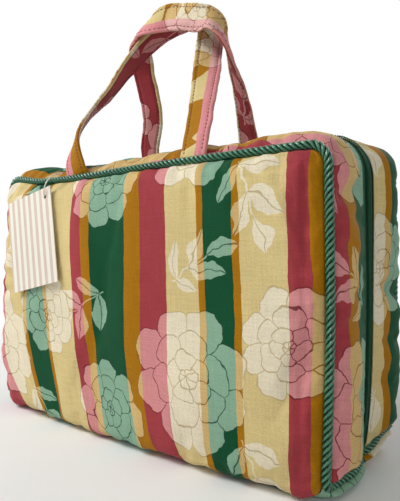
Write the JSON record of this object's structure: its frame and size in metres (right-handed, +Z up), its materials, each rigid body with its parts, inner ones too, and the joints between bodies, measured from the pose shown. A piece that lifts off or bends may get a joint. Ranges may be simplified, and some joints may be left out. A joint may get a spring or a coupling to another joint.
{
  "type": "cosmetic bag",
  "caption": "Padded cloth cosmetic bag, piped with twisted cord, zipped round three sides, with two strap handles and a hang tag.",
  "frame": {"origin": "middle of the base, on the floor", "axes": "+X along the front to the right, +Y from front to back, +Z up"},
  "size_m": [0.3362, 0.1515, 0.3591],
  "materials": {
    "front_panel": "printed cotton over padding",
    "back_panel": "printed cotton over padding",
    "base_panel": "printed cotton over padding",
    "front_gusset": "printed cotton over padding",
    "back_gusset": "printed cotton over padding",
    "piping_cord": "satin twisted cord",
    "lining": "plain woven",
    "zip_tape_front": "woven tape",
    "zip_tape_back": "woven tape",
    "front_handle": "printed cotton over padding",
    "back_handle": "printed cotton over padding",
    "zip_coil_front": "moulded nylon coil",
    "zip_coil_back": "moulded nylon coil",
    "zip_slider": "worn plating",
    "zip_pull": "worn plating",
    "hang_tag": "striped card",
    "tag_fastener": "clear white nylon"
  },
  "bodies": {
    "bag": {"front_panel": "front_panel", "back_panel": "back_panel", "base_panel": "base_panel", "front_gusset": "front_gusset", "back_gusset": "back_gusset", "piping_cord": "piping_cord", "lining": "lining", "zip_tape_front": "zip_tape_front", "zip_tape_back": "zip_tape_back", "front_handle": "front_handle", "back_handle": "back_handle", "zip_coil_front": "zip_coil_front", "zip_coil_back": "zip_coil_back", "hang_tag": "hang_tag", "tag_fastener": "tag_fastener"},
    "slider": {"zip_slider": "zip_slider"},
    "pull": {"zip_pull": "zip_pull"}
  },
  "joints": [
    {"name": "slider_run", "type": "slide", "parent": "bag", "child": "slider", "axis": [0, 0, 1], "range_m": [0, 0.14]},
    {"name": "pull_swing", "type": "hinge", "parent": "slider", "child": "pull", "pos_m": [-0.1668, 0, 0.04], "axis": [0, 1, 0], "range_deg": [0, 170]}
  ]
}
